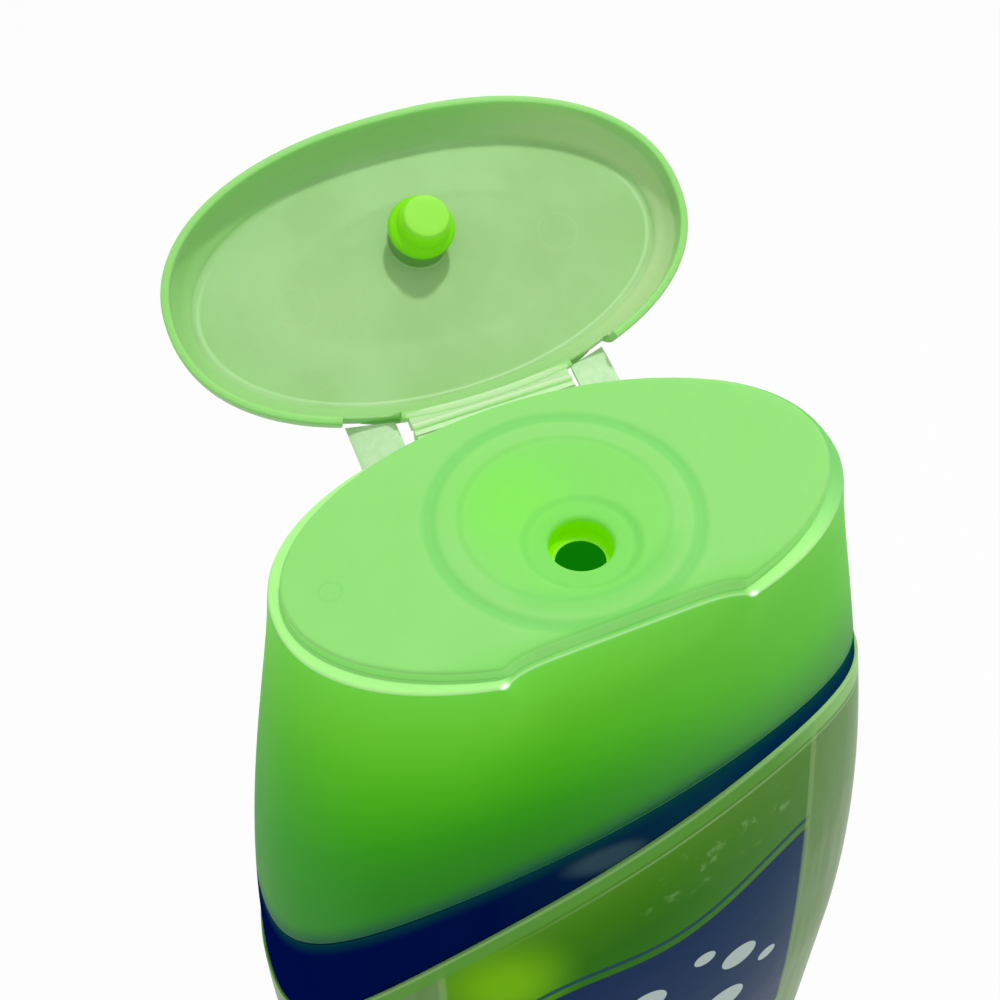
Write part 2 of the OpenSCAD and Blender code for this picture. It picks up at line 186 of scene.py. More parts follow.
def loft(name, rings, poles=False):
    """Closed mesh through the rings: joined end to end, or closed by a point at each end."""
    count = len(rings)
    points = np.concatenate(rings)
    steps = np.arange(ROUND_STEPS)
    after = (steps + 1) % ROUND_STEPS
    faces = []
    for i in range(count - 1 if poles else count):
        low, high = i * ROUND_STEPS, (i + 1) % count * ROUND_STEPS
        faces.append(np.column_stack([low + steps, low + after, high + after, high + steps]))
    faces = np.concatenate(faces).tolist()
    if poles:
        ends = [rings[0].mean(0), rings[-1].mean(0)]
        first = len(points)
        points = np.vstack([points, ends])
        last_ring = (count - 1) * ROUND_STEPS
        faces += [[first, after[j], j] for j in steps]
        faces += [[first + 1, last_ring + j, last_ring + after[j]] for j in steps]
    return mesh_object(name, points, faces)


def mesh_object(name, points, faces):
    """Object from points in millimetres, with its faces turned outward and shaded smooth."""
    mesh = bpy.data.meshes.new(name)
    mesh.from_pydata((np.asarray(points) * MM).tolist(), [], faces)
    work = bmesh.new()
    work.from_mesh(mesh)
    bmesh.ops.recalc_face_normals(work, faces=work.faces)
    work.to_mesh(mesh)
    work.free()
    piece = bpy.data.objects.new(name, mesh)
    bpy.context.scene.collection.objects.link(piece)
    return piece


def shade(piece, angle=35):
    piece.data.shade_smooth()
    piece.data.set_sharp_from_angle(angle=math.radians(angle))


def combine(piece, cutter, operation):
    """Applies one exact boolean and removes the cutter."""
    modifier = piece.modifiers.new("work", "BOOLEAN")
    modifier.operation = operation
    modifier.solver = "EXACT"
    modifier.object = cutter
    shape = bpy.data.meshes.new_from_object(piece.evaluated_get(bpy.context.evaluated_depsgraph_get()))
    piece.modifiers.clear()
    old = piece.data
    piece.data = shape
    shape.name = piece.name
    bpy.data.meshes.remove(old)
    bpy.data.objects.remove(cutter)


def prism(name, outline, x0, x1):
    """Bar along X from x0 to x1 with an outline of (y, z) points."""
    n = len(outline)
    points = [(x, y, z) for x in (x0, x1) for y, z in outline]
    faces = [list(range(n)), list(range(2 * n - 1, n - 1, -1))]
    faces += [[i, (i + 1) % n, n + (i + 1) % n, n + i] for i in range(n)]
    return mesh_object(name, points, faces)


def arc(y, z, r, start, end, steps):
    """Points (y, z) on an arc, with angles in degrees from +Y towards +Z."""
    turns = np.radians(np.linspace(start, end, steps))
    return [(y + r * math.cos(t), z + r * math.sin(t)) for t in turns]


# Thumb scoop: a wide upright cylinder that leans outward on its way down

def scoop_limit(x, z):
    """The most forward Y that the scoop leaves at a place."""
    b = TOP_D / 2
    edge_y = b * (1 - (SCOOP_HALF / (TOP_W / 2)) ** TOP_N) ** (1 / TOP_N)
    lean = (form_b(SEAM_H - SCOOP_H) - edge_y + SCOOP_CUT) / SCOOP_H
    share = np.clip(x / SCOOP_HALF, -1.3, 1.3)
    cut = SCOOP_CUT * (1 - np.abs(share) ** SCOOP_N)
    return cut - edge_y - (SEAM_H - z) * lean


def scooped(ring, inset=0.0, soft=0.12):
    """A ring pushed back out of the scoop, with a softened border."""
    limit = scoop_limit(ring[:, 0], ring[:, 2]) + inset
    gap = ring[:, 1] - limit
    moved = limit + 0.5 * (gap + np.sqrt(gap * gap + soft * soft))
    front = ring[:, 1] < 0
    return np.column_stack([ring[:, 0], np.where(front, moved, ring[:, 1]), ring[:, 2]])


def smooth_step(value, low, high):
    t = np.clip((value - low) / (high - low), 0, 1)
    return t * t * (3 - 2 * t)


def deck_height(ring):
    """The deck's top with its dish, ring groove and the collar recess round the orifice."""
    from_middle = np.hypot(ring[:, 0], ring[:, 1] + DISH_Y)
    from_orifice = np.hypot(ring[:, 0] - ORIFICE_X, ring[:, 1] + ORIFICE_Y)
    dish = DISH_DEPTH * (1 - (np.minimum(from_middle, DISH_R) / DISH_R) ** 2)
    groove = RING_DEPTH * (1 - smooth_step(np.abs(from_middle - RING_R), 0.0, RING_HALF + 0.4))
    near = 1 - smooth_step(from_orifice, COLLAR_R - 0.7, COLLAR_R + 0.7)
    collar = (DISH_DEPTH - dish + COLLAR_DEPTH) * near
    return DECK_Z - dish - groove - collar


def deck_rings():
    """Rings over the deck from the orifice's mouth to the deck's outline."""
    a, b = TOP_W / 2 - LEDGE_W, TOP_D / 2 - LEDGE_D
    back = DECK_ROUND
    places = [0.0, 0.3, 0.55, 0.8]
    radii = [MOUTH_R + MOUTH_ROUND, COLLAR_R + 0.4, DISH_R + 0.3, RING_R + 1.2]
    shifts = [-ORIFICE_Y, -ORIFICE_Y, -DISH_Y, -DISH_Y]
    rings = []
    for s in np.linspace(0, 0.8, 70):
        ring = circle(np.interp(s, places, radii), DECK_Z, np.interp(s, places, shifts))
        ring[:, 0] += ORIFICE_X * np.interp(s, places, [1, 1, 0, 0])
        rings.append(ring)
    r = radii[-1]
    for s in np.linspace(0, 1, 24)[1:]:
        rings.append(oval(r + (a - back - r) * s, r + (b - back - r) * s, 2, DECK_Z, -DISH_Y * (1 - s)))
    out = []
    for ring in rings:
        ring = scooped(ring, 2 * back)
        ring[:, 2] = deck_height(ring)
        out.append(ring)
    for t in np.radians(np.linspace(15, 90, 6)):
        inset = back * (1 - math.sin(t))
        z = DECK_Z - back * (1 - math.cos(t))
        out.append(scooped(oval(a - inset, b - inset, 2, z), back + inset))
    out.append(scooped(oval(a, b, 2, SEAM_H + 0.2), back))
    out.append(scooped(oval(a + 0.05, b + 0.05, 2, SEAM_H + 0.06), back - 0.05))
    return out


def skirt_rings():
    """Rings over the ledge, round the seam edge, down the skirt and up its inside."""
    rings = []
    a, b = TOP_W / 2, TOP_D / 2
    for s in (0.12, 0.4, 0.7, 1.0):
        inset_a = LEDGE_W + (SEAM_ROUND - LEDGE_W) * s
        inset_b = LEDGE_D + (SEAM_ROUND - LEDGE_D) * s
        n = 2 + (TOP_N - 2) * s
        inset = DECK_ROUND - 0.1 + (SEAM_ROUND - DECK_ROUND + 0.1) * s
        rings.append(scooped(oval(a - inset_a, b - inset_b, n, SEAM_H), inset))
    for t in np.linspace(75, 0, 6):
        inset = SEAM_ROUND * (1 - math.cos(math.radians(t)))
        z = SEAM_H - SEAM_ROUND * (1 - math.sin(math.radians(t)))
        rings.append(scooped(oval(a - inset, b - inset, TOP_N, z), inset))
    low = edge_heights(SKIRT_DROP, SKIRT_SLOPE, SKIRT_ARCH)
    top = SEAM_H - SEAM_ROUND
    for s in np.linspace(0, 1, 64)[1:]:
        ring = form_ring(top + (low + SKIRT_ROUND - top) * s)
        soft = 0.2 + 1.4 * smooth_step(top - ring[:, 2], 1.0, SCOOP_H - 3)
        rings.append(scooped(ring, 0.0, soft))
    for t in np.linspace(30, 90, 3):
        inset = SKIRT_ROUND * (1 - math.cos(math.radians(t)))
        rings.append(form_ring(low + SKIRT_ROUND - SKIRT_ROUND * math.sin(math.radians(t)), -inset))
    under = DECK_Z - DECK_WALL
    for s in np.linspace(0, 1, 20):
        rings.append(scooped(form_ring(low + (under - low) * s, -SKIRT_WALL), SCOOP_WALL))
    return rings


def inner_cap_rings():
    """Rings under the deck: neck skirt with its snap ring, plug seal, nozzle and orifice."""
    under = DECK_Z - DECK_WALL
    neck_top = under - FIT_GAP
    snap_r = NECK_R + BEAD_OUT + FIT_GAP
    foot = neck_top - SNAP_H
    bead = neck_top - BEAD_DROP - 2 * BEAD_OUT
    seal_r = NECK_BORE_R - FIT_GAP
    seal_z = neck_top - SEAL_H
    rings = [circle(r, z) for r, z in (
        (snap_r + SNAP_WALL, under), (snap_r + SNAP_WALL, foot), (NECK_R + FIT_GAP, foot),
        (NECK_R + FIT_GAP, bead), (snap_r, bead + BEAD_OUT), (snap_r, under - 0.01),
        (seal_r, under - 0.01), (seal_r, seal_z), (seal_r - SEAL_WALL, seal_z), (seal_r - SEAL_WALL, under))]
    end = under - NOZZLE_LEN
    top = DECK_Z - DISH_DEPTH - COLLAR_DEPTH
    cone = top - MOUTH_DEPTH - CONE_H
    nozzle_r = MOUTH_R + NOZZLE_WALL
    profile = [(nozzle_r, under), (nozzle_r, end), (THROAT_R + 0.1, end), (THROAT_R, end + 0.1),
               (THROAT_R, cone - 0.1), (THROAT_R + 0.12, cone + 0.1), (MOUTH_R - 0.12, cone + CONE_H - 0.1),
               (MOUTH_R, cone + CONE_H + 0.1)]
    profile += [(MOUTH_R, top - MOUTH_ROUND - (MOUTH_DEPTH - 0.9) * s) for s in (0.75, 0.5, 0.25, 0)]
    for t in np.radians([15, 30, 45, 60, 75, 88]):
        profile.append((MOUTH_R + MOUTH_ROUND * (1 - math.cos(t)), top - MOUTH_ROUND * (1 - math.sin(t))))
    rings += [mouth_ring(r, z) for r, z in profile]
    return rings


def strap_face(thick, grow, up, down):
    """Eight points of the closed right strap's plate, or of a pocket round it."""
    fold = (2 * math.pi - OPEN_ANGLE) / 4
    across = STRAP_OUT_X - STRAP_IN_X
    in_half = STRAP_IN_Y * math.tan(fold)
    out_half = (STRAP_IN_Y + STRAP_SLOPE * across) * math.tan(fold)
    plan = across * math.hypot(1, STRAP_SLOPE)
    along = np.array([1, -STRAP_SLOPE, 0]) / math.hypot(1, STRAP_SLOPE)
    front = np.array([-STRAP_SLOPE, -1, 0]) / math.hypot(1, STRAP_SLOPE)
    origin = np.array([STRAP_IN_X, HINGE[1] - STRAP_IN_Y, HINGE[2]])
    outline = [(-grow, -in_half * down - grow), (plan + grow, -out_half * down - grow),
               (plan + grow, out_half * up + grow), (-grow, in_half * up + grow)]
    return [origin + along * u + np.array([0, 0, v]) + front * w for w in thick for u, v in outline]


BOX_FACES = [[0, 1, 2, 3], [7, 6, 5, 4], [0, 4, 5, 1], [1, 5, 6, 2], [2, 6, 7, 3], [3, 7, 4, 0]]


def pocket(side, up, down):
    """Cutter for the pocket of one strap; side is 1 on the right and -1 on the left."""
    points = np.array(strap_face([-6, STRAP_T / 2 + EDGE_GAP], EDGE_GAP + 0.25, up, down))
    points[:, 0] *= side
    return mesh_object("pocket", points, BOX_FACES)


def build_cap():
    cap = loft("cap_base_skin", deck_rings() + skirt_rings() + inner_cap_rings())
    y, z = HINGE[1], HINGE[2]
    top = SEAM_H - 0.05
    foot = SEAM_H - LUG_H
    lug = [(y - 2.2, top), (y - 2.2, foot), (TOP_D / 2, foot), (y, SEAM_H - 1.5), (y, top)]
    combine(cap, prism("lug", lug, -HINGE_HALF, HINGE_HALF), "UNION")
    bead = arc(y, z, FILM_R, 0, 345, 24)
    combine(cap, prism("bead", bead, -HINGE_HALF, HINGE_HALF), "UNION")
    for side in (1, -1):
        combine(cap, pocket(side, 0, 1), "DIFFERENCE")
    shade(cap)
    return cap


def lid_rings():
    """Rings of the closed lid, from the middle of its dome round the rim to the plug's tip."""
    z0 = SEAM_H + LID_GAP
    a, b = TOP_W / 2, LID_D / 2
    dome = np.array([[0.25, 0], [2.6, 0.35], [4.2, 1.2], [5.2, 2.6], [5.8, 5], [6.15, 9], [LID_H, DOME_IN]])
    rings = []
    for s in np.linspace(0.04, 1, 20):
        z = z0 + LID_H + 0.12 * (1 - s * s)
        rings.append(oval((a - DOME_IN) * s, (b - DOME_IN) * s, 2 + (TOP_N - 2) * s, z))
    for s in np.linspace(1, 0, 40)[1:]:
        z = catmull(dome[:, 0], s)
        inset = catmull(dome[:, 1], s)
        rings.append(oval(a - inset, b - inset, TOP_N, z0 + z))
    for angle in (30, 60, 90):
        inset = RIM_ROUND * (1 - math.cos(math.radians(angle)))
        z = z0 + RIM_ROUND - RIM_ROUND * math.sin(math.radians(angle))
        rings.append(oval(a - inset, b - inset, TOP_N, z))
    for angle in (90, 60, 30, 0):
        inset = RIM_WALL - RIM_ROUND * (1 - math.cos(math.radians(angle)))
        z = z0 + RIM_ROUND - RIM_ROUND * math.sin(math.radians(angle))
        rings.append(oval(a - inset, b - inset, TOP_N, z))
    floor_z = z0 + LID_DISH
    wall = np.array([[z0 + 1.6, RIM_WALL + 0.1], [floor_z - 1.4, 1.9], [floor_z - 0.5, FLOOR_INSET - 0.15],
                     [floor_z - 0.13, FLOOR_INSET + 0.15], [floor_z, FLOOR_INSET + 0.6]])
    for s in np.linspace(0, 1, 24):
        inset = catmull(wall[:, 1], s)
        n = TOP_N + (2.1 - TOP_N) * s
        rings.append(oval(a - inset, b - inset, n, catmull(wall[:, 0], s)))
    a_in, b_in = a - FLOOR_INSET - 0.6, b - FLOOR_INSET - 0.6
    root_r = PLUG_STEM_R + 0.4
    for s in np.linspace(0, 1, 60)[1:]:
        ring_a = a_in + (root_r - a_in) * s
        ring_b = b_in + (root_r - b_in) * s
        ring = oval(ring_a, ring_b, 2.1 - 0.1 * s, 0.0, -ORIFICE_Y * s)
        ring[:, 0] += (ORIFICE_X - PLUG_LEAN) * s
        reach = np.hypot(ring[:, 0] / PANEL_A, ring[:, 1] / PANEL_B)
        ring[:, 2] = floor_z + PANEL_DEPTH * (1 - smooth_step(reach, 0.9, 1.05))
        rings.append(ring)
    tip_z = DECK_Z - DISH_DEPTH - PLUG_REACH
    floor = floor_z + PANEL_DEPTH
    stem = [[root_r, floor], [PLUG_STEM_R + 0.06, floor - 0.5], [PLUG_STEM_R, tip_z + 4.6],
            [PLUG_STEM_R + 0.05, tip_z + 4.1]]
    bulb = [[PLUG_BULB_R - 0.12, tip_z + 3.5], [PLUG_BULB_R, tip_z + 3.0], [PLUG_BULB_R - 0.2, tip_z + 2.55]]
    seat = [[MOUTH_R - 0.22, tip_z + 2.05], [MOUTH_R - 0.32, tip_z + 1.5], [MOUTH_R - 0.5, tip_z + 0.9]]
    tip = [[PLUG_TIP_R + 0.18, tip_z + 0.3], [PLUG_TIP_R + 0.02, tip_z + 0.06], [PLUG_TIP_R - 0.25, tip_z]]
    plug = np.array(stem + bulb + seat + tip)
    for s in np.linspace(0, 1, 80)[1:]:
        z = catmull(plug[:, 1], s)
        ring = mouth_ring(catmull(plug[:, 0], s), z)
        ring[:, 0] -= PLUG_LEAN * smooth_step(z - tip_z, 0.0, 4.4)
        rings.append(ring)
    rings += [mouth_ring(PLUG_TIP_R - 0.8, tip_z), mouth_ring(0.5, tip_z)]
    return rings


def catmull(values, s):
    """A smooth curve through evenly spaced values, read at s from 0 to 1."""
    last = len(values) - 1
    place = min(max(s * last, 0), last - 1e-9)
    i = int(place)
    f = place - i
    p = [values[min(max(i + k, 0), last)] for k in (-1, 0, 1, 2)]
    slope_in, slope_out = (p[2] - p[0]) / 2, (p[3] - p[1]) / 2
    return ((2 * f ** 3 - 3 * f ** 2 + 1) * p[1] + (f ** 3 - 2 * f ** 2 + f) * slope_in
            + (3 * f ** 2 - 2 * f ** 3) * p[2] + (f ** 3 - f ** 2) * slope_out)


def open_turn():
    """Turns a mesh in metres from the closed lid's place to the open one."""
    pivot = Matrix.Translation(Vector(HINGE * MM))
    return pivot @ Matrix.Rotation(-OPEN_ANGLE, 4, "X") @ pivot.inverted()


def build_lid():
    lid = loft("lid_skin", lid_rings(), poles=True)
    z0 = SEAM_H + LID_GAP
    front = LID_D / 2 - RIM_WALL + 0.1
    block = [(front, z0 + 0.1), (HINGE[1] - 0.1, z0 + 0.1), (HINGE[1] - 0.1, z0 + BLOCK_H),
             (front, z0 + BLOCK_H)]
    combine(lid, prism("block", block, -HINGE_HALF, HINGE_HALF), "UNION")
    groove = arc(HINGE[1], HINGE[2], FILM_R + 0.08, 0, 345, 24)
    combine(lid, prism("groove", groove, -HINGE_HALF - 1, HINGE_HALF + 1), "DIFFERENCE")
    for side in (1, -1):
        combine(lid, pocket(side, 1, 0), "DIFFERENCE")
    lid.data.transform(open_turn())
    shade(lid)
    return lid


def build_strap(name, side):
    """Thin trapezoid plate with a film fold along its two sides, turned to the open place."""
    corners = np.array(strap_face([0, 1], 0, 1, 1))
    low_in, low_out, high_out, high_in = corners[:4]
    front = corners[4] - corners[0]
    steps_u, steps_v = 16, 28
    sheets = []
    for face in (1, -1):
        for v in np.linspace(0, 1, steps_v + 1):
            near = smooth_step(min(v, 1 - v), 0.0, 0.16)
            for u in np.linspace(0, 1, steps_u + 1):
                edge = smooth_step(min(u, 1 - u), 0.0, 0.05)
                half = STRAP_T / 2 * (0.35 + 0.65 * near) * (0.5 + 0.5 * edge)
                low = low_in + (low_out - low_in) * u
                high = high_in + (high_out - high_in) * u
                sheets.append(low + (high - low) * v + front * half * face)
    row, sheet = steps_u + 1, (steps_u + 1) * (steps_v + 1)
    faces = []
    for face in (0, 1):
        for i in range(steps_v):
            for j in range(steps_u):
                k = face * sheet + i * row + j
                faces.append([k, k + 1, k + row + 1, k + row])
    border = [j for j in range(row)]
    border += [i * row + row - 1 for i in range(1, steps_v + 1)]
    border += [steps_v * row + j for j in range(row - 2, -1, -1)]
    border += [i * row for i in range(steps_v - 1, 0, -1)]
    faces += [[p, q, q + sheet, p + sheet] for p, q in zip(border, border[1:] + border[:1])]
    points = np.array(sheets)
    points[:, 0] *= side
    strap = mesh_object(name + "_skin", points, faces)
    joint = JOINTS[name.replace("hinge_strap", "strap_hinge")]
    pivot = Matrix.Translation(Vector(joint["pos_m"]))
    turn = Matrix.Rotation(-math.radians(strap_turn()), 4, Vector(joint["axis"]))
    strap.data.transform(pivot @ turn @ pivot.inverted())
    shade(strap)
    return strap


def strap_turn():
    fold = (2 * math.pi - OPEN_ANGLE) / 4
    line = np.array([1, -STRAP_SLOPE, -STRAP_SLOPE * math.tan(fold)])
    return math.degrees(2 * math.atan(np.linalg.norm(line) / math.tan(fold)))


def bottle_rings():
    """Rings of the bottle: push-up, foot, body, step under the skirt, neck, and all its inside."""
    inset = SKIRT_WALL + EDGE_GAP
    low = edge_heights(SKIRT_DROP, SKIRT_SLOPE, SKIRT_ARCH) - EDGE_GAP
    foot_in = FOOT_W / 2 - FOOT_R - FOOT_RING
    depth_share = BODY_D / BODY_W
    rings = []
    for s in (0.05, 0.3, 0.6, 0.85, 0.97, 1.0):
        r = (foot_in - 3) * s
        rings.append(oval(r, r * depth_share, BODY_N, PUSH_UP))
    for s in np.linspace(0, 1, 8)[1:]:
        ease = smooth_step(s, 0, 1)
        r = foot_in - 3 + 3 * s
        rings.append(oval(r, r * depth_share, BODY_N, PUSH_UP * (1 - ease)))
    b_foot = float(form_b(FOOT_R))
    for t in np.radians(np.linspace(0, 80, 10)):
        back = FOOT_R * (1 - math.sin(t))
        rings.append(oval(FOOT_W / 2 - back, b_foot - back, BODY_N, FOOT_R * (1 - math.cos(t))))
    for s in np.linspace(0, 1, 90):
        rings.append(form_ring(FOOT_R + (low - 0.25 - FOOT_R) * s))
    rings.append(form_ring(low - 0.07, -0.07))
    rings.append(form_ring(low, -0.25))
    rings.append(form_ring(low, 0.25 - inset))
    under = DECK_Z - DECK_WALL
    neck_top = under - FIT_GAP
    shoulder = neck_top - NECK_LEN
    start = shoulder - SHOULDER_LEN
    for s in np.linspace(0, 1, 20):
        rings.append(form_ring(low + 0.25 + (start - 1 - low - 0.25) * s, -inset))
    rings += [shoulder_ring(t, start, inset, 0) for t in np.linspace(0.05, 1, 12)]
    bead = neck_top - BEAD_DROP
    neck = [(NECK_R, shoulder + 1), (NECK_R, bead), (NECK_R + BEAD_OUT, bead + BEAD_OUT),
            (NECK_R + BEAD_OUT, bead + BEAD_H - 2 * BEAD_OUT), (NECK_R, bead + BEAD_H),
            (NECK_R, neck_top - 0.2), (NECK_R - 0.2, neck_top), (NECK_BORE_R + 0.2, neck_top),
            (NECK_BORE_R, neck_top - 0.2), (NECK_BORE_R, shoulder + 0.3)]
    rings += [circle(r, z) for r, z in neck]
    w = BOTTLE_WALL
    rings += [shoulder_ring(t, start, inset, w) for t in np.linspace(0.95, 0.05, 12)]
    for s in np.linspace(1, 0, 20):
        rings.append(form_ring(low + 0.25 + (start - 2 - low - 0.25) * s, -inset - w))
    rings.append(form_ring(low - 2.4, -w))
    for s in np.linspace(1, 0, 24)[1:]:
        rings.append(form_ring(FOOT_R + (low - 2.4 - FOOT_R) * s, -w))
    floor = PUSH_UP + w
    for t in np.radians((60, 30, 5)):
        back = FOOT_R * (1 - math.sin(t)) + w
        z = max(FOOT_R * (1 - math.cos(t)), floor)
        rings.append(oval(FOOT_W / 2 - back, b_foot - back, BODY_N, z))
    for s in (0.7, 0.4, 0.05):
        rings.append(oval((FOOT_W / 2 - 8) * s, (b_foot - 8) * s, BODY_N, floor))
    return rings


def shoulder_ring(t, start, inset, wall):
    """One ring of the shoulder, from the body at t = 0 to the neck at t = 1."""
    k = math.sin(math.radians(90 * t)) ** 2
    a = (form_a(start) - inset) * (1 - k) + (NECK_R + 0.8) * k - wall
    b = (form_b(start) - inset) * (1 - k) + (NECK_R + 0.8) * k - wall
    return oval(a, b, form_n(start) * (1 - k) + 2 * k, start + SHOULDER_LEN * t - wall)


def build_bottle():
    bottle = loft("bottle_skin", bottle_rings(), poles=True)
    shade(bottle)
    return bottle


def label_rings():
    """Rings up the label's outside, over its upper edge and down its inside."""
    out = LABEL_GAP + LABEL_T
    high = edge_heights(LABEL_DROP, LABEL_SLOPE, LABEL_ARCH, out)
    rings = [form_ring(LABEL_LOW, LABEL_GAP), form_ring(LABEL_LOW, out - 0.1)]
    for s in np.linspace(0, 1, 150):
        rings.append(form_ring(LABEL_LOW + 0.1 + (high - 0.1 - LABEL_LOW - 0.1) * s, out))
    rings.append(form_ring(high, out - 0.1))
    for s in np.linspace(1, 0, 24)[:-1]:
        rings.append(form_ring(LABEL_LOW + (high - LABEL_LOW) * s, LABEL_GAP))
    return rings


def build_label():
    label = loft("label_skin", label_rings())
    shade(label)
    return label


# Materials and light

SKY = 0.62
FLOOR_HALF = 3000.0
CAMERA_PLACE, CAMERA_TURN = (-38.28, -83.42, 306.48), (40.605, 1.863, -22.776)
LENS, SENSOR_W = 49.265, 36


def tone(red, green, blue):
    """Linear colour from the 0 to 255 values of a screen colour."""
    def linear(value):
        v = value / 255
        return v / 12.92 if v <= 0.04045 else ((v + 0.055) / 1.055) ** 2.4
    return (linear(red), linear(green), linear(blue), 1.0)


class Wire:
    """A shader socket. Arithmetic on it adds Math nodes."""

    def __init__(self, paint, socket):
        self.paint = paint
        self.socket = socket

    def math(self, operation, *values):
        return self.paint.node("ShaderNodeMath", {"operation": operation}, dict(enumerate(values)))

    def __add__(self, other):
        return self.math("ADD", self, other)

    def __radd__(self, other):
        return self.math("ADD", other, self)

    def __sub__(self, other):
        return self.math("SUBTRACT", self, other)

    def __rsub__(self, other):
        return self.math("SUBTRACT", other, self)

    def __mul__(self, other):
        return self.math("MULTIPLY", self, other)

    def __rmul__(self, other):
        return self.math("MULTIPLY", other, self)

    def __truediv__(self, other):
        return self.math("DIVIDE", self, other)

    def __pow__(self, other):
        return self.math("POWER", self, other)

    def __abs__(self):
        return self.math("ABSOLUTE", self)


class Paint:
    """Adds nodes to the shader tree of one material or world."""

    def __init__(self, owner):
        owner.use_nodes = True
        self.owner = owner
        self.tree = owner.node_tree
        self.tree.nodes.clear()

    def node(self, kind, settings=None, inputs=None, out=0):
        """Adds a node with its settings and inputs, and returns one of its outputs."""
        made = self.tree.nodes.new(kind)
        for key, value in (settings or {}).items():
            if key == "stops":
                set_stops(made.color_ramp, value)
            else:
                setattr(made, key, value)
        for key, value in (inputs or {}).items():
            socket = made.inputs[key]
            if isinstance(value, Wire):
                self.tree.links.new(value.socket, socket)
            else:
                socket.default_value = value
        return Wire(self, made.outputs[out]) if made.outputs else None

    def place(self):
        """The shaded point in the object's frame, then its X, Y and Z in millimetres."""
        at = self.node("ShaderNodeTexCoord", out="Object")
        x, y, z = [self.node("ShaderNodeSeparateXYZ", inputs={"Vector": at}, out=name) for name in "XYZ"]
        return at, x / MM, y / MM, z / MM

    def fade(self, value, low, high):
        """0 below low and 1 above high, with a smooth rise between."""
        settings = {"interpolation_type": "SMOOTHSTEP"}
        return self.node("ShaderNodeMapRange", settings, {"Value": value, "From Min": low, "From Max": high})

    def band(self, value, low, high, soft):
        """1 between low and high, with soft borders inside."""
        return self.fade(value, low, low + soft) * (1 - self.fade(value, high - soft, high))

    def spot(self, place, centre, radius, soft):
        """1 within a radius of a centre, given in as many axes as the place."""
        squares = [(value - middle) ** 2 for value, middle in zip(place, centre)]
        return 1 - self.fade(sum(squares[1:], squares[0]) ** 0.5, radius, radius + soft)

    def noise(self, at, scale, detail=2.0, rough=0.5):
        return self.node("ShaderNodeTexNoise", inputs={"Vector": at, "Scale": scale, "Detail": detail,
                                                       "Roughness": rough}, out="Fac")

    def stretched(self, at, scale):
        return self.node("ShaderNodeVectorMath", {"operation": "MULTIPLY"}, {0: at, 1: scale})

    def along(self, first, second):
        """The dot product of two vectors."""
        settings = {"operation": "DOT_PRODUCT"}
        return self.node("ShaderNodeVectorMath", settings, {0: first, 1: second}, out="Value")

    def sine(self, value):
        return self.node("ShaderNodeMath", {"operation": "SINE"}, {0: value})

    def mix(self, share, first, second):
        """The first colour at share 0 and the second at share 1."""
        return self.node("ShaderNodeMix", {"data_type": "RGBA"}, {0: share, 6: first, 7: second}, out=2)

    def ramp(self, value, stops):
        return self.node("ShaderNodeValToRGB", {"stops": stops}, {"Fac": value})

    def bump(self, height, distance, strength):
        inputs = {"Height": height, "Distance": distance, "Strength": strength}
        return self.node("ShaderNodeBump", inputs=inputs)

    def seen(self):
        """1 for the rays that show the background: camera, glossy and transmission rays."""
        rays = [self.node("ShaderNodeLightPath", out=name)
                for name in ("Is Camera Ray", "Is Glossy Ray", "Is Transmission Ray")]
        return self.widest(*rays)

    def widest(self, *masks):
        most = masks[0]
        for mask in masks[1:]:
            most = self.node("ShaderNodeMath", {"operation": "MAXIMUM"}, {0: most, 1: mask})
        return most

    def finish(self, **inputs):
        """Ends the tree in a Principled shader with these inputs."""
        names = {key.replace("_", " "): value for key, value in inputs.items()}
        shader = self.node("ShaderNodeBsdfPrincipled", inputs=names)
        self.node("ShaderNodeOutputMaterial", inputs={"Surface": shader})
        return self.owner


def set_stops(ramp, stops):
    while len(ramp.elements) > 1:
        ramp.elements.remove(ramp.elements[-1])
    for i, (place, colour) in enumerate(stops):
        element = ramp.elements[0] if i == 0 else ramp.elements.new(place)
        element.position = place
        element.color = colour


def new_paint(name):
    return Paint(bpy.data.materials.new(name))


def edge_distance(x, z, drop, slope, arch):
    """Height above an arched, sloping edge, as shader values."""
    return z - (SEAM_H - drop + slope * x - arch * (abs(x) / ARCH_AT) ** ARCH_N)


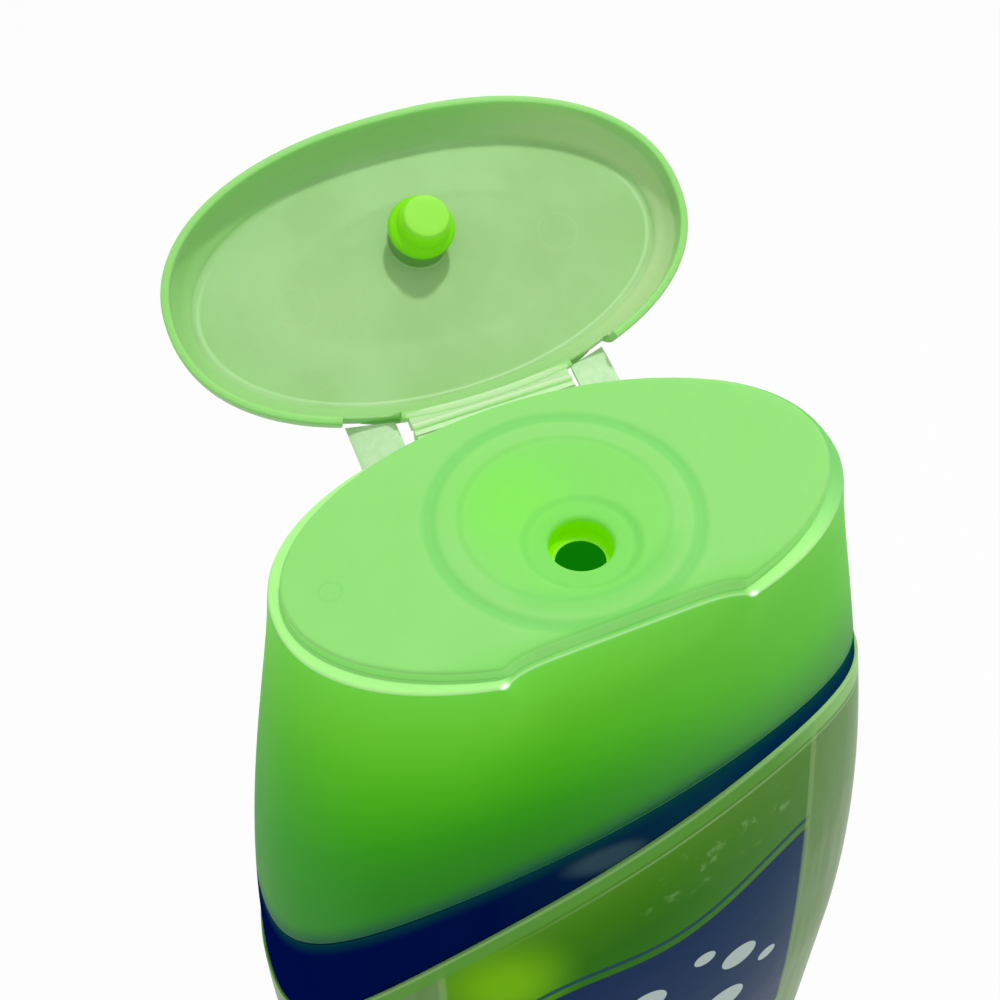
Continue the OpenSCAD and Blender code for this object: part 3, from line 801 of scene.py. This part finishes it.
def cap_plastic():
    """Cloudy green plastic, pale on the deck and deepening down the skirt to a navy lower edge. The pale
    deck, the darker left side and part of the deepening are painted light and shade; the deck's hollows get
    painted shade, its edges painted highlights, and the orifice painted glowing light.
    """
    paint = new_paint("cap_plastic")
    at, x, y, z = paint.place()
    cloud = paint.noise(at, 90.0, 3.0)
    above = edge_distance(x, z, SKIRT_DROP, SKIRT_SLOPE, SKIRT_ARCH)
    share = above / (above + SEAM_H - z) + (cloud - 0.5) * 0.08
    # Painted shade: the green darkens and deepens towards the lower edge, partly the plastic's own fade to
    # navy and partly shade; the left ramp is darker than the right, away from the lamp.
    left = paint.ramp(share, [(0.1, tone(52, 150, 34)), (0.2, tone(55, 159, 31)), (0.35, tone(60, 176, 25)),
                              (0.5, tone(81, 199, 27)), (0.65, tone(99, 217, 37)), (0.8, tone(118, 233, 54)),
                              (1.0, tone(132, 248, 80))])
    right = paint.ramp(share, [(0.1, tone(83, 173, 69)), (0.2, tone(93, 188, 72)), (0.35, tone(102, 209, 69)),
                               (0.5, tone(110, 219, 69)), (0.8, tone(119, 229, 78)),
                               (1.0, tone(130, 236, 88))])
    wall = paint.mix(paint.fade(x, -14.0, 24.0), left, right)
    # Painted shade: a greyer, darker far left flank.
    flank = paint.fade(0 - x, 27.0, 38.0)
    wall = paint.mix(flank * 0.3, wall, tone(84, 180, 76))
    reach = (x * x + (y + DISH_Y) ** 2) ** 0.5
    from_orifice = ((x - ORIFICE_X) ** 2 + (y + ORIFICE_Y) ** 2) ** 0.5
    deck = paint.mix((cloud - 0.3) * 0.6, tone(148, 224, 121), tone(168, 233, 143))
    # Painted shade and light on the deck: deeper green in the dish, a painted pool of light left of the
    # orifice, painted shade in the groove and at the dish's and collar's edges, and deeper green round the
    # orifice and towards the front, where the neck below shades it.
    dish = 1 - paint.fade(reach, 9.5, DISH_R + 0.8)
    deck = paint.mix(dish * 0.55, deck, tone(132, 230, 100))
    lit = paint.spot((x, y), (-4.0, 3.5), 1.0, 8.5)
    deck = paint.mix(lit * 0.6, deck, tone(134, 240, 88))
    groove = paint.band(reach, RING_R - 1.1, RING_R + 1.1, 0.7)
    deck = paint.mix(groove * 0.45, deck, tone(112, 214, 104))
    dish_edge = paint.band(reach, DISH_R - 0.6, DISH_R + 0.6, 0.5)
    deck = paint.mix(dish_edge * 0.25, deck, tone(112, 214, 92))
    collar_edge = paint.band(from_orifice, COLLAR_R - 0.9, COLLAR_R + 0.5, 0.6)
    deck = paint.mix(collar_edge * 0.3, deck, tone(112, 214, 92))
    collar = 1 - paint.fade(from_orifice, 3.5, COLLAR_R + 0.5)
    deck = paint.mix(collar * 0.45, deck, tone(122, 222, 92))
    front = paint.band(reach, 9.0, 13.2, 1.6) * (1 - paint.fade(y, -10.0, -5.0))
    deck = paint.mix(front * 0.4, deck, tone(116, 218, 98))
    deck = paint.mix((1 - paint.fade(y, -15.2, -12.0)) * 0.4, deck, tone(118, 216, 90))
    beside_scoop = paint.fade(abs(x), SCOOP_HALF - 1.2, SCOOP_HALF)
    open_edge = paint.widest(beside_scoop, paint.fade(y, -12.0, -10.0))
    # Painted light: the deck, facing the lamp, takes its paler green above the seam, and the walls their
    # darker one.
    top = paint.fade(z, SEAM_H - 0.35, SEAM_H - 0.2)
    green = paint.mix(top, wall, deck)
    outside = paint.fade(reach, 12.5, 13.5)
    # Painted highlight: the deck's low upright rise takes a pale green in place of its shade.
    rise = paint.band(z, SEAM_H + 0.03, DECK_Z - 0.2, 0.2) * outside
    green = paint.mix(rise * (0.6 + 0.4 * open_edge), green, tone(168, 250, 138))
    # Painted highlight: the ledge takes pale green, with painted shade towards its right end.
    ledge = top * (1 - paint.fade(z, SEAM_H + 0.03, SEAM_H + 0.12)) * outside
    shaded = paint.fade(x, 20.0, 32.0)
    ledge_tone = paint.mix(shaded, tone(182, 255, 152), tone(132, 206, 120))
    green = paint.mix(ledge * open_edge, green, ledge_tone)
    # Painted highlight: a pale line along the rounded seam edge, also added to the emission below.
    lip_highlight = paint.band(z, SEAM_H - 0.26, SEAM_H - 0.005, 0.1) * outside
    lip_highlight_tone = paint.mix(shaded, tone(178, 250, 156), tone(150, 214, 138))
    green = paint.mix(lip_highlight * (0.75 - 0.4 * open_edge), green, lip_highlight_tone)
    corner = (x, (y + 16.4) * 1.6, (z - SEAM_H + 0.1) * 1.6)
    glint = paint.widest(*[paint.spot(corner, (end, 0, 0), 0.05, 0.75) for end in (-SCOOP_HALF, SCOOP_HALF)])
    green = paint.mix(glint, green, tone(240, 255, 232))
    mark = paint.band(((x + 25.5) ** 2 + y * y) ** 0.5, 0.9, 1.5, 0.25)
    green = paint.mix(mark * top * 0.18, green, tone(120, 205, 105))
    # Painted light: the orifice's inner wall takes a bright yellow-green, though it lies in shade.
    mouth = 1 - paint.fade(from_orifice, MOUTH_R + 0.1, MOUTH_R + 0.8)
    mouth = mouth * (1 - paint.fade(z, 195.7, 196.65))
    green = paint.mix(mouth, green, tone(150, 245, 0))
    # Painted highlight: a pale ring on the cone at the throat.
    near = 1 - paint.fade(from_orifice, MOUTH_R + 0.1, MOUTH_R + 0.2)
    seat = near * paint.band(z, 193.58, 193.9, 0.08)
    green = paint.mix(seat * 0.7, green, tone(170, 245, 90))
    # Painted shade: black below the throat, which the emission lights with painted dark green.
    deep = near * (1 - paint.fade(z, 193.55, 193.62))
    green = paint.mix(deep, green, (0, 0, 0, 1))
    low = paint.fade(x, -10.0, 20.0)
    lower_edge = 1 - paint.fade(above + (cloud - 0.5), -2.2, 4.0 - 1.4 * low)
    colour = paint.mix(lower_edge, green, tone(2, 34, 80))
    # Painted light as emission: the orifice's wall and throat, the seam edge's highlight and the scoop's
    # glints.
    painted_glow = paint.mix(mouth, (0, 0, 0, 1), (0.03, 0.12, 0, 1))
    painted_glow = paint.mix(deep, painted_glow, tone(8, 118, 4))
    painted_glow = paint.mix(paint.widest(lip_highlight * 0.04, glint * 0.5), painted_glow, (0.45, 0.6, 0.4, 1))
    # Painted highlight: the hinge bead and the lug beside it take a pale green.
    hinge = paint.fade(y, HINGE[1] - 1.5, HINGE[1] - 1.3) * paint.fade(z, SEAM_H - 2.0, SEAM_H - 1.0)
    hinge = hinge * (1 - paint.fade(abs(x), 9.7, 9.9))
    colour = paint.mix(hinge, colour, tone(206, 240, 186))
    # Painted shade: a dark line in the narrow gap at the film fold.
    slit_shade = paint.band(y, HINGE[1] - 1.5, HINGE[1] - 1.1, 0.12)
    colour = paint.mix(hinge * slit_shade * 0.8, colour, tone(96, 124, 84))
    grain = paint.noise(at, 2600.0, 2.0)
    skin = paint.bump(grain, 0.00003, 0.5)
    return paint.finish(Base_Color=colour, Roughness=0.45, Subsurface_Weight=0.3, Subsurface_Scale=0.002,
                        Subsurface_Radius=(0.5, 1.0, 0.25), IOR=1.48, Specular_IOR_Level=0.03, Normal=skin,
                        Emission_Color=painted_glow, Emission_Strength=1.0)


def lid_plastic():
    """Paler cloudy green plastic, with a deep green plug. Painted light: a lighter inner wall, a brighter
    rim, a highlight line at the floor's border, shade on the stem and glowing light in the plug. Its masks
    use the closed lid's place.
    """
    paint = new_paint("lid_plastic")
    at, x, open_y, open_z = paint.place()
    back, up = open_y - HINGE[1], open_z - HINGE[2]
    turn_sin, turn_cos = math.sin(OPEN_ANGLE), math.cos(OPEN_ANGLE)
    y = HINGE[1] + back * turn_cos - up * turn_sin
    z = HINGE[2] + back * turn_sin + up * turn_cos
    rim_z, floor_z = SEAM_H + LID_GAP, SEAM_H + LID_GAP + LID_DISH
    cloud = paint.noise(at, 70.0, 3.0)
    shell = paint.mix(paint.fade(cloud, 0.35, 0.65), tone(163, 208, 137), tone(172, 216, 149))
    a, b = TOP_W / 2 - FLOOR_INSET, LID_D / 2 - FLOOR_INSET
    share = ((x / a) ** 2 + (y / b) ** 2) ** 0.5
    from_rim = (abs(x / (TOP_W / 2)) ** TOP_N + abs(y / (LID_D / 2)) ** TOP_N) ** (1 / TOP_N)
    within = 1 - paint.fade(from_rim, 0.955, 0.965)
    inside = within * (1 - paint.fade(z, floor_z + 0.2, floor_z + 0.5))
    wall = inside * paint.fade(share, 0.99, 1.03)
    # Painted light: the inner wall takes a lighter green, lightest on the right, towards the lamp.
    side = paint.mix(paint.fade(x, 4.0, 26.0), tone(158, 212, 132), tone(188, 220, 158))
    shell = paint.mix(wall * 0.95, shell, side)
    # Painted light: the rim's end takes a brighter, more saturated green, as if lit through the plastic.
    rim = 1 - paint.fade(z, rim_z + 0.1, rim_z + 0.6)
    shell = paint.mix(rim * 0.7, shell, tone(150, 226, 120))
    # Painted highlight: a pale line along the floor's border, on the hinge side.
    line = paint.band(share, 0.962, 0.99, 0.012) * inside * paint.fade(y + abs(x) * 0.25, -3.0, 6.0)
    shell = paint.mix(line * 0.45, shell, tone(205, 240, 185))
    floor = inside * (1 - paint.fade(share, 0.96, 0.98))
    from_marks = [((x - mark_x) ** 2 + y * y) ** 0.5 for mark_x in (-16.6, 16.6)]
    marks = paint.widest(*[paint.band(distance, 2.1, 2.8, 0.35) for distance in from_marks])
    shell = paint.mix(marks * floor * 0.14, shell, tone(190, 225, 165))
    panel = 1 - paint.fade(((x / PANEL_A) ** 2 + (y / PANEL_B) ** 2) ** 0.5, 0.94, 1.06)
    shell = paint.mix(panel * floor * 0.14, shell, tone(146, 192, 118))
    from_plug = ((x - ORIFICE_X) ** 2 + (y + ORIFICE_Y) ** 2) ** 0.5
    plug = 1 - paint.fade(from_plug, PLUG_BULB_R + 0.2, PLUG_BULB_R + 0.5)
    plug = plug * (1 - paint.fade(z, floor_z - 0.2, floor_z))
    # Plug tones: the deep green of its plastic, with painted shade on the stem near the floor.
    colours = paint.ramp((z - 194.0) / 7.0, [
        (0.0, tone(152, 226, 84)), (0.09, tone(146, 226, 72)), (0.13, tone(140, 230, 30)),
        (0.42, tone(118, 218, 14)), (0.58, tone(112, 198, 40)), (0.7, tone(112, 168, 82)),
        (1.0, tone(118, 170, 90))])
    shell = paint.mix(plug, shell, colours)
    block = paint.fade(y, HINGE[1] - 1.9, HINGE[1] - 1.6) * (1 - paint.fade(abs(x), 9.8, 10.1))
    shell = paint.mix(block * 0.8, shell, tone(206, 240, 186))
    # Painted light as emission in the plug's bulb and tip.
    painted_glow = paint.mix(plug * (1 - paint.fade(z, 196.5, 198.5)), (0, 0, 0, 1), (0.03, 0.1, 0.0, 1))
    grain = paint.noise(at, 2600.0, 2.0)
    skin = paint.bump(grain, 0.00003, 0.5)
    return paint.finish(Base_Color=shell, Roughness=0.42, Subsurface_Weight=0.3, Subsurface_Scale=0.002,
                        Subsurface_Radius=(0.5, 1.0, 0.25), IOR=1.48, Specular_IOR_Level=0.12, Normal=skin,
                        Emission_Color=painted_glow, Emission_Strength=1.0)


def strap_plastic():
    """Thin, whitened film of the two side straps."""
    paint = new_paint("strap_plastic")
    at = paint.place()[0]
    cloud = paint.noise(at, 900.0, 4.0, 0.6)
    colour = paint.mix(paint.fade(cloud, 0.35, 0.65), tone(200, 234, 186), tone(212, 240, 200))
    skin = paint.bump(cloud, 0.0001, 0.6)
    return paint.finish(Base_Color=colour, Roughness=0.35, Subsurface_Weight=0.3,
                        Subsurface_Scale=0.001, Subsurface_Radius=(0.6, 1.0, 0.5), IOR=1.48,
                        Specular_IOR_Level=0.15, Normal=skin)


def bottle_plastic():
    """Navy plastic. Its inside, and what the skirt hides, are black with painted green light from the cap as
    emission; a painted teal light fills the shaded gap under the skirt's edge.
    """
    paint = new_paint("bottle_plastic")
    at, x, y, z = paint.place()
    colour = paint.ramp((x + BODY_W / 2) / BODY_W, [
        (0.0, tone(1, 16, 86)), (0.3, tone(2, 20, 76)), (0.42, tone(5, 36, 72)), (0.6, tone(10, 58, 80)),
        (0.7, tone(0, 48, 84)), (1.0, tone(16, 60, 88))])
    cloud = paint.noise(at, 160.0, 3.0)
    # Painted reflection: a soft grey-blue sheen on the navy front.
    reflection_patch = paint.spot((x / 2.2, y, z), (-2.0, -22.0, 162.6), 1.2, 1.9) * paint.fade(cloud, 0.3, 0.5)
    colour = paint.mix(reflection_patch * 0.8, colour, tone(58, 88, 98))
    above = edge_distance(x, z, SKIRT_DROP, SKIRT_SLOPE, SKIRT_ARCH)
    colour = paint.mix(paint.fade(above, -2.6, 0.2) * 0.7, colour, tone(8, 74, 68))
    normal = paint.node("ShaderNodeTexCoord", out="Normal")
    facing = paint.along(paint.stretched(at, (1, 1, 0)), normal)
    # Painted shade and light: faces hidden by the skirt and the bottle's inside are black, lit only by a
    # painted green emission.
    hidden = paint.widest(paint.fade(above, 2.0, 3.0), 1 - paint.fade(facing, -0.0006, -0.0001))
    colour = paint.mix(hidden, colour, (0, 0, 0, 1))
    # Painted light: a teal emission in the shaded gap under the skirt's edge.
    gap = paint.band(above, -0.5, 2.4, 0.4) * (1 - hidden)
    painted_glow = paint.mix(gap * 0.7, (0, 0, 0, 1), tone(4, 50, 58))
    painted_glow = paint.mix(hidden, painted_glow, tone(8, 118, 4))
    ripple = paint.noise(at, 60.0, 2.0)
    skin = paint.bump(ripple, 0.0002, 0.3)
    return paint.finish(Base_Color=colour, Roughness=0.3, IOR=1.49, Specular_IOR_Level=0.0, Normal=skin,
                        Emission_Color=painted_glow, Emission_Strength=1.0)


def label_film():
    """Glossy printed film: green front with a navy wave and dots, and a plain grey-green side."""
    paint = new_paint("label_film")
    at, x, y, z = paint.place()
    above = edge_distance(x, z, LABEL_DROP, LABEL_SLOPE, LABEL_ARCH)
    green = paint.ramp(above / 160 + 1, [
        (0.3, tone(58, 134, 0)), (0.8, tone(48, 124, 0)), (0.885, tone(46, 122, 0)),
        (0.94, tone(68, 138, 4)), (0.975, tone(84, 150, 30))])
    green = paint.mix(paint.fade(x, -2.0, 24.0) * 0.5, green, tone(104, 158, 76))
    # Painted light: a bright yellow-green pool low on the left of the front.
    painted_glow = paint.spot((x, (z - 141) * 0.8), (-18.0, 0.0), 1.0, 10.0)
    green = paint.mix(painted_glow, green, tone(128, 202, 0))
    cloud = paint.noise(at, 300.0, 4.0, 0.65)
    # Painted reflection: pale mottled sheen on the film's crinkles below its top edge; the bump also raises
    # the crinkles.
    crinkle_sheen = paint.fade(cloud, 0.54, 0.72) * paint.band(above, -18.0, -5.0, 4.0)
    crinkle_sheen = crinkle_sheen * paint.band(x, -2.0, 24.0, 6.0)
    green = paint.mix(crinkle_sheen * 0.5, green, tone(158, 206, 128))
    wave = above + 25.0 + 2.4 * paint.sine(x * 0.16 + 0.6)
    field = (1 - paint.fade(wave, -0.15, 0.15)) * paint.fade(above, -78.2, -77.8)
    across = (x + BODY_W / 2) / BODY_W
    navy = paint.ramp(across, [(0.0, tone(2, 30, 96)), (0.5, tone(5, 46, 92)), (1.0, tone(18, 66, 98))])
    front = paint.mix(field, green, navy)
    stripe = paint.band(wave, 1.6, 2.8, 0.15)
    front = paint.mix(stripe * 0.85, front, tone(16, 70, 92))
    dots = [(-20.0, 108.0, 2.6), (-9.0, 119.0, 1.7), (1.0, 122.5, 2.8), (9.5, 127.5, 1.6),
            (15.5, 122.0, 2.8), (6.0, 114.0, 1.5), (-2.0, 104.0, 3.6), (14.0, 109.0, 3.4),
            (21.0, 116.0, 1.5), (-13.0, 96.0, 1.8)]
    mask = paint.widest(*[paint.spot((x, z), (dot_x, dot_z), r, 0.12) for dot_x, dot_z, r in dots])
    front = paint.mix(mask, front, tone(196, 214, 208))
    side_x = abs(x) - 0.04 * (163.0 - z)
    side = paint.fade(side_x, 24.4, 25.0)
    streak = paint.noise(paint.stretched(at, (1.0, 1.0, 0.08)), 420.0, 2.0)
    plain = paint.mix(paint.fade(streak, 0.3, 0.7), tone(116, 154, 90), tone(132, 165, 112))
    plain = paint.mix(paint.fade(z, 128.0, 152.0) * 0.6, plain, tone(99, 153, 63))
    colour = paint.mix(side, front, plain)
    trim = paint.band(side_x, 23.8, 25.2, 0.5)
    colour = paint.mix(trim * 0.5, colour, tone(160, 196, 126))
    # Painted highlight: a pale band over the rounded shoulder along the top edge, paler towards the right.
    strip = paint.fade(above, -3.4, -2.6)
    pale = paint.mix(paint.fade(x, 16.0, 30.0), tone(104, 172, 66), tone(158, 222, 130))
    colour = paint.mix(strip * 0.85, colour, pale)
    # Painted highlights on the creases along the top edge, which the bump also raises.
    lower_crease = paint.band(above, -4.1, -3.3, 0.25) * paint.fade(x, -24.0, 10.0)
    crease = paint.widest(paint.fade(above, -0.7, -0.35), lower_crease)
    colour = paint.mix(crease * 0.4, colour, tone(180, 230, 150))
    behind = paint.fade(y, -4.0, 4.0)
    colour = paint.mix(behind * (1 - strip), colour, tone(92, 170, 44))
    ripple = paint.noise(at, 120.0, 2.0)
    skin = paint.bump(ripple + crinkle_sheen * 0.5 + crease, 0.0003, 0.4)
    return paint.finish(Base_Color=colour, Roughness=0.25, IOR=1.5, Specular_IOR_Level=0.01, Normal=skin)


def floor_white():
    """White floor. It keeps a faint shadow where the camera sees it."""
    paint = new_paint("floor_white")
    matte = paint.node("ShaderNodeBsdfDiffuse", inputs={"Color": (0.9, 0.9, 0.9, 1)})
    white = paint.node("ShaderNodeEmission", inputs={"Color": (1, 1, 1, 1), "Strength": 1.0})
    both = paint.node("ShaderNodeMixShader", inputs={0: paint.seen() * 0.93, 1: matte, 2: white})
    paint.node("ShaderNodeOutputMaterial", inputs={"Surface": both})
    return paint.owner


def dress(piece, node, body, material):
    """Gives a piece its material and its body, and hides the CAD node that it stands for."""
    piece.data.materials.clear()
    piece.data.materials.append(material)
    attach(piece, body)
    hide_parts(node)


def build_floor():
    r = FLOOR_HALF
    corners = [(-r, -r, 0), (r, -r, 0), (r, r, 0), (-r, r, 0)]
    floor = mesh_object("floor", corners, [[0, 1, 2, 3]])
    floor.data.materials.append(floor_white())


def add_lamp(name, place, target, size, power_w):
    """Square lamp at a place in millimetres, aimed at the target."""
    data = bpy.data.lights.new(name, "AREA")
    data.energy = power_w
    data.size = size * MM
    lamp = bpy.data.objects.new(name, data)
    bpy.context.scene.collection.objects.link(lamp)
    lamp.location = Vector(place) * MM
    aim = Vector(target) - Vector(place)
    lamp.rotation_euler = aim.to_track_quat("-Z", "Y").to_euler()


def build_lights():
    world = bpy.data.worlds.new("studio")
    bpy.context.scene.world = world
    paint = Paint(world)
    level = SKY + (1 - SKY) * paint.seen()
    sky = paint.node("ShaderNodeBackground", inputs={"Color": (1, 1, 1, 1), "Strength": level})
    paint.node("ShaderNodeOutputWorld", inputs={"Surface": sky})
    add_lamp("key", (175, 115, 840), (0, 10, 200), 45, 2.0)


def build_camera():
    data = bpy.data.cameras.new("camera")
    data.lens = LENS
    data.sensor_width = SENSOR_W
    camera = bpy.data.objects.new("camera", data)
    bpy.context.scene.collection.objects.link(camera)
    camera.location = Vector(CAMERA_PLACE) * MM
    camera.rotation_euler = Euler([math.radians(turn) for turn in CAMERA_TURN], "XYZ")
    data.clip_start = 0.005
    bpy.context.scene.camera = camera


bpy.context.scene.view_settings.view_transform = "Standard"
dress(build_cap(), "cap_base", "body", cap_plastic())
dress(build_lid(), "lid", "lid", lid_plastic())
strap_paint = strap_plastic()
for strap_side, strap_sign in (("left", -1), ("right", 1)):
    strap_node = strap_side + "_hinge_strap"
    strap_piece = build_strap(strap_node, strap_sign)
    dress(strap_piece, strap_node, strap_side + "_strap", strap_paint)
dress(build_bottle(), "bottle", "body", bottle_plastic())
dress(build_label(), "label", "body", label_film())
build_floor()
build_lights()
build_camera()

bpy.context.view_layer.update()
